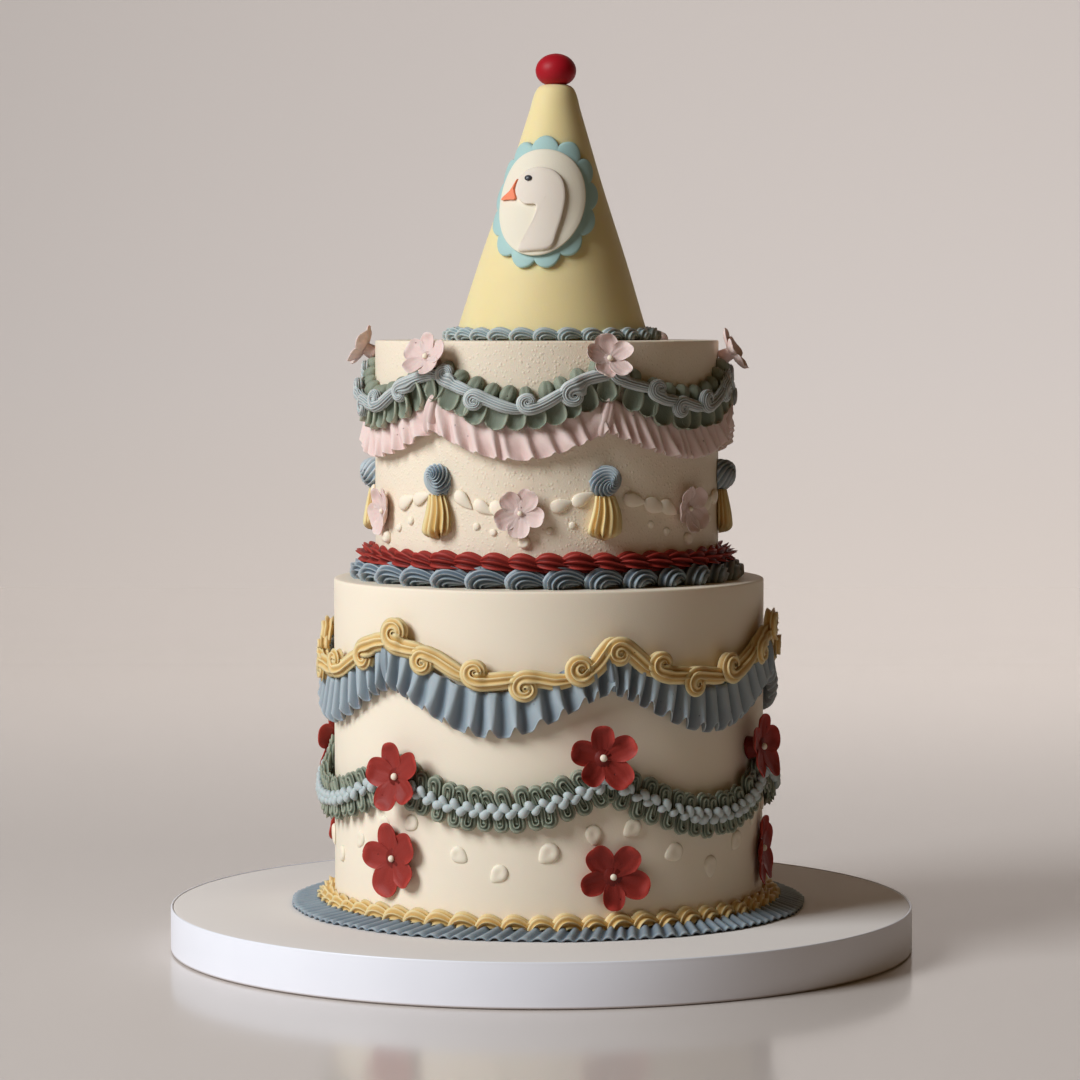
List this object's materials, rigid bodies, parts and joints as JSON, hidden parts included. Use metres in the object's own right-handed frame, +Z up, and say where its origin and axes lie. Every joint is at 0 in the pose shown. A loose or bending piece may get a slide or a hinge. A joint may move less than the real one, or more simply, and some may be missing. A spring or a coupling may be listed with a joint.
{
  "type": "cake on stand",
  "caption": "Tiered iced cake with piped ruffles, ropes, shells and flowers, topped by a cone hat with a ball and a bird plaque, on a low round stand.",
  "frame": {"origin": "middle of the stand's flat underside", "axes": "+Z up through the cake; the front with the plaque looks along -Y; +X is to the right seen from the front"},
  "size_m": [0.3558, 0.3554, 0.4276],
  "materials": {
    "stand": "painted warm grey-white, satin",
    "stand_band": "smooth white edge band, satin",
    "ivory_icing": "smoothed ivory buttercream, matte with fine air bubbles",
    "hat_icing": "smooth pale yellow sugar paste, matte",
    "red_ball": "deep red sugar ball, soft gloss",
    "aqua_paste": "pale aqua sugar paste, matte",
    "cream_paste": "cream sugar paste, matte",
    "white_paste": "white sugar paste, matte",
    "orange_paste": "orange sugar paste, matte",
    "dark_bead": "dark grey sugar bead, glossy",
    "pale_blue_icing": "pale grey-blue buttercream, piped, satin",
    "green_icing": "grey-green buttercream, piped, satin",
    "grey_icing": "blue-grey buttercream, piped, satin",
    "pink_icing": "pale pink buttercream, piped, satin",
    "red_icing": "brick red buttercream, piped, satin",
    "blue_icing": "dusty blue buttercream, piped, satin",
    "gold_icing": "golden buttercream, piped, satin",
    "bead_icing": "pale blue buttercream beads, satin"
  },
  "bodies": {
    "root": {"board": "stand", "board_band": "stand_band", "tier_bottom": "ivory_icing", "tier_top": "ivory_icing", "hat": "hat_icing", "hat_ball": "red_ball", "plaque_scallop": "aqua_paste", "plaque_oval": "cream_paste", "goose": "white_paste", "goose_beak": "orange_paste", "goose_eye": "dark_bead", "hat_border": "pale_blue_icing", "red_border": "red_icing", "blue_border": "blue_icing", "gold_border": "gold_icing", "base_ruffle": "blue_icing", "leaf_ruffle": "green_icing", "scroll_rope": "grey_icing", "pink_ruffle": "pink_icing", "blue_ruffle": "blue_icing", "gold_rope": "gold_icing", "green_swag": "green_icing", "bead_chain": "bead_icing", "pink_flower_upper_1": "pink_icing", "pink_flower_upper_2": "pink_icing", "pink_flower_upper_3": "pink_icing", "pink_flower_upper_4": "pink_icing", "pink_flower_upper_5": "pink_icing", "pink_flower_upper_6": "pink_icing", "pink_flower_mid_1": "pink_icing", "pink_flower_mid_2": "pink_icing", "pink_flower_mid_3": "pink_icing", "pink_flower_mid_4": "pink_icing", "pink_flower_mid_5": "pink_icing", "pink_flower_mid_6": "pink_icing", "red_flower_upper_1": "red_icing", "red_flower_upper_2": "red_icing", "red_flower_upper_3": "red_icing", "red_flower_upper_4": "red_icing", "red_flower_upper_5": "red_icing", "red_flower_upper_6": "red_icing", "red_flower_lower_1": "red_icing", "red_flower_lower_2": "red_icing", "red_flower_lower_3": "red_icing", "red_flower_lower_4": "red_icing", "red_flower_lower_5": "red_icing", "red_flower_lower_6": "red_icing", "tassel_rosette_1": "blue_icing", "tassel_rosette_2": "blue_icing", "tassel_rosette_3": "blue_icing", "tassel_rosette_4": "blue_icing", "tassel_rosette_5": "blue_icing", "tassel_rosette_6": "blue_icing", "tassel_drop_1": "gold_icing", "tassel_drop_2": "gold_icing", "tassel_drop_3": "gold_icing", "tassel_drop_4": "gold_icing", "tassel_drop_5": "gold_icing", "tassel_drop_6": "gold_icing"}
  },
  "joints": []
}
